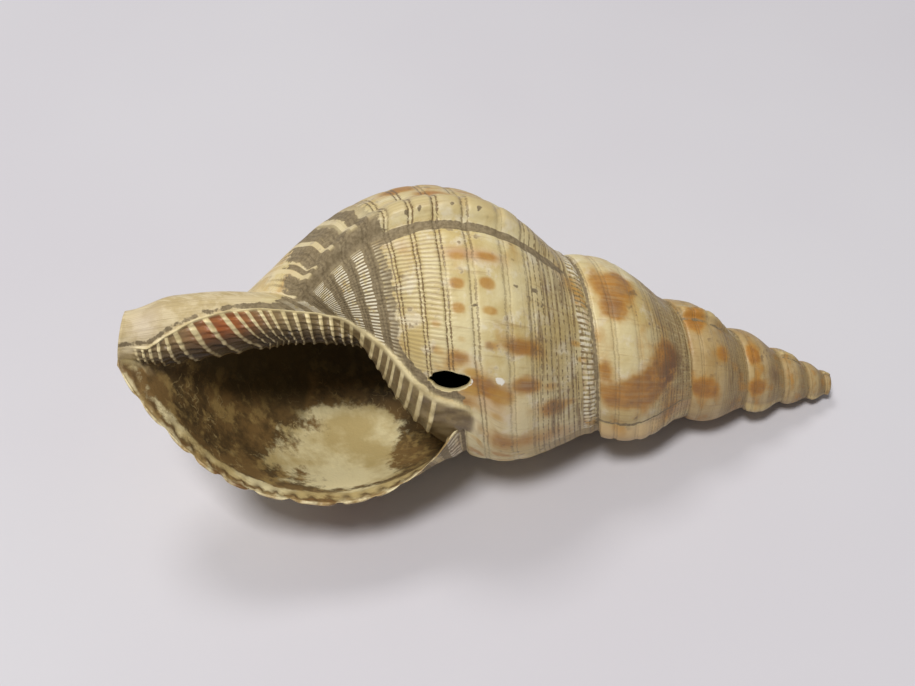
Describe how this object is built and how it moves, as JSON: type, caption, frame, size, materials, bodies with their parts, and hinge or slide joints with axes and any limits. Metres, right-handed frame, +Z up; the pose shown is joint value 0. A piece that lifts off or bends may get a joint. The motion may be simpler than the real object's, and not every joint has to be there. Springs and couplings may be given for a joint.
{
  "type": "triton shell",
  "caption": "Old triton sea-snail shell with a ridged inner lip, a drilled side blow hole and a broken-off tip, lying with its aperture to the front.",
  "frame": {"origin": "centre of the bottom of the bounding box, on the ground the shell lies on", "axes": "+X points to the tip of the spire, +Z up as the shell lies, and the aperture faces -Y"},
  "size_m": [0.3126, 0.1342, 0.1288],
  "materials": {
    "shell": "worn satin shell, cream with orange-brown blotches and dark dirt in the grooves"
  },
  "bodies": {
    "root": {"triton_shell": "shell"}
  },
  "joints": []
}
